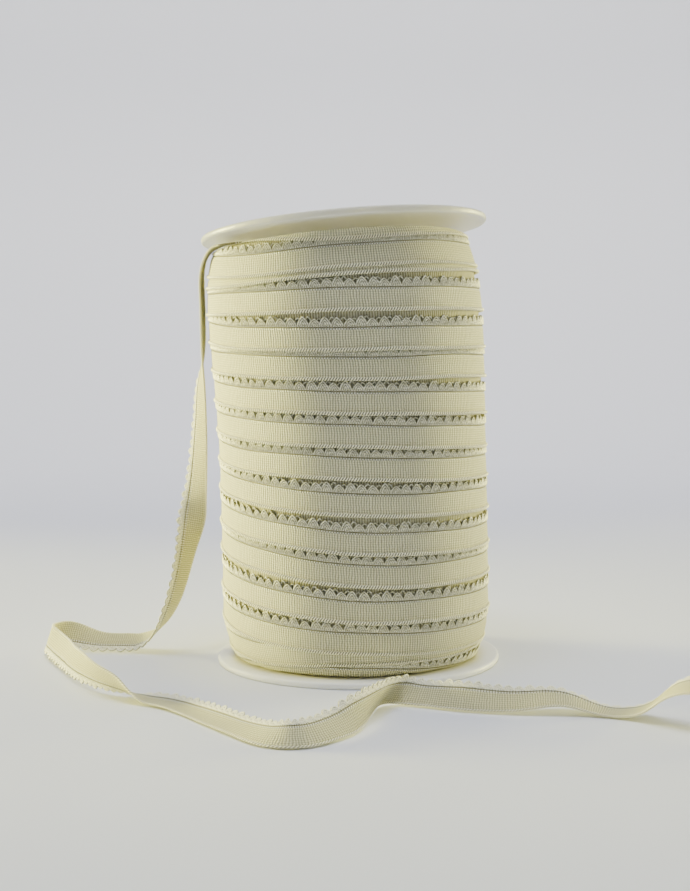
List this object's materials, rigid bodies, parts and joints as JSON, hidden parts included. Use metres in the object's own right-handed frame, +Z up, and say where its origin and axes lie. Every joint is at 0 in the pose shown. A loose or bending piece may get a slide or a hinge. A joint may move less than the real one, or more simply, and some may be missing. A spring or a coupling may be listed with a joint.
{
  "type": "roll of elastic",
  "caption": "Upright spool of narrow cream picot-edged elastic wound in overlapping helical turns between two thin plastic flanges, its loose end hanging down and trailing over the floor.",
  "frame": {"origin": "centre of the bottom flange's underside, on the floor", "axes": "+X to the right as seen from the front, +Y away from the front, +Z up the spool"},
  "size_m": [0.2676, 0.1803, 0.1661],
  "materials": {
    "winding": "ribbed knitted elastic with glossy corded and looped edges, cream",
    "loose_end": "ribbed knitted elastic with glossy corded and looped edges, cream",
    "top_flange": "satin white moulded plastic",
    "bottom_flange": "satin white moulded plastic"
  },
  "bodies": {
    "root": {"winding": "winding", "loose_end": "loose_end", "top_flange": "top_flange", "bottom_flange": "bottom_flange"}
  },
  "joints": []
}
